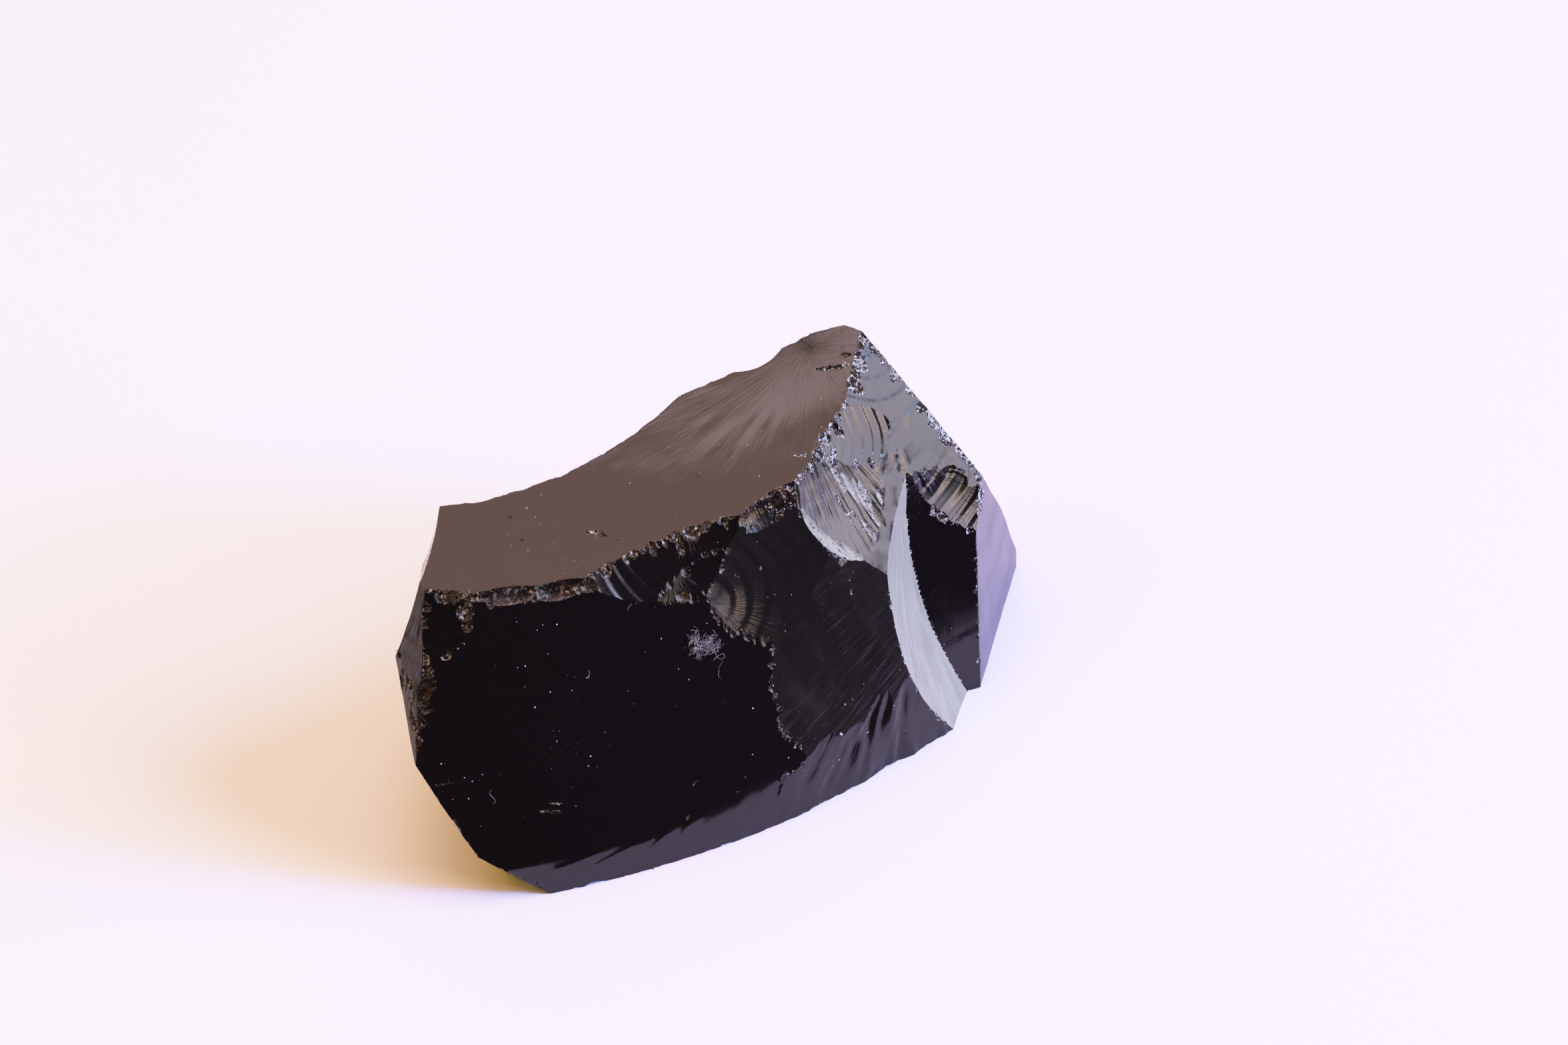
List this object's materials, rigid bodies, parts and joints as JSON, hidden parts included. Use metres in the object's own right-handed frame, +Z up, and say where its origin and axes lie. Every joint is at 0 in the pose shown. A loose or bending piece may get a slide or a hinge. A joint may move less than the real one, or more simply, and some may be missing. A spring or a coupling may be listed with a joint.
{
  "type": "obsidian chunk",
  "caption": "Hand-sized chunk of raw black obsidian with smooth shell-shaped fracture faces, sharp crushed ridges and a flat underside to rest on.",
  "frame": {"origin": "on the surface the chunk rests on, under the middle of its bounding box", "axes": "+X along the longest extent, to the right; +Y to the back, away from the great front face; +Z up"},
  "size_m": [0.091, 0.0748, 0.0494],
  "materials": {
    "obsidian": "glossy on fresh breaks, matt and scratched on one face, white where the edges are crushed"
  },
  "bodies": {
    "root": {"obsidian_chunk": "obsidian"}
  },
  "joints": []
}
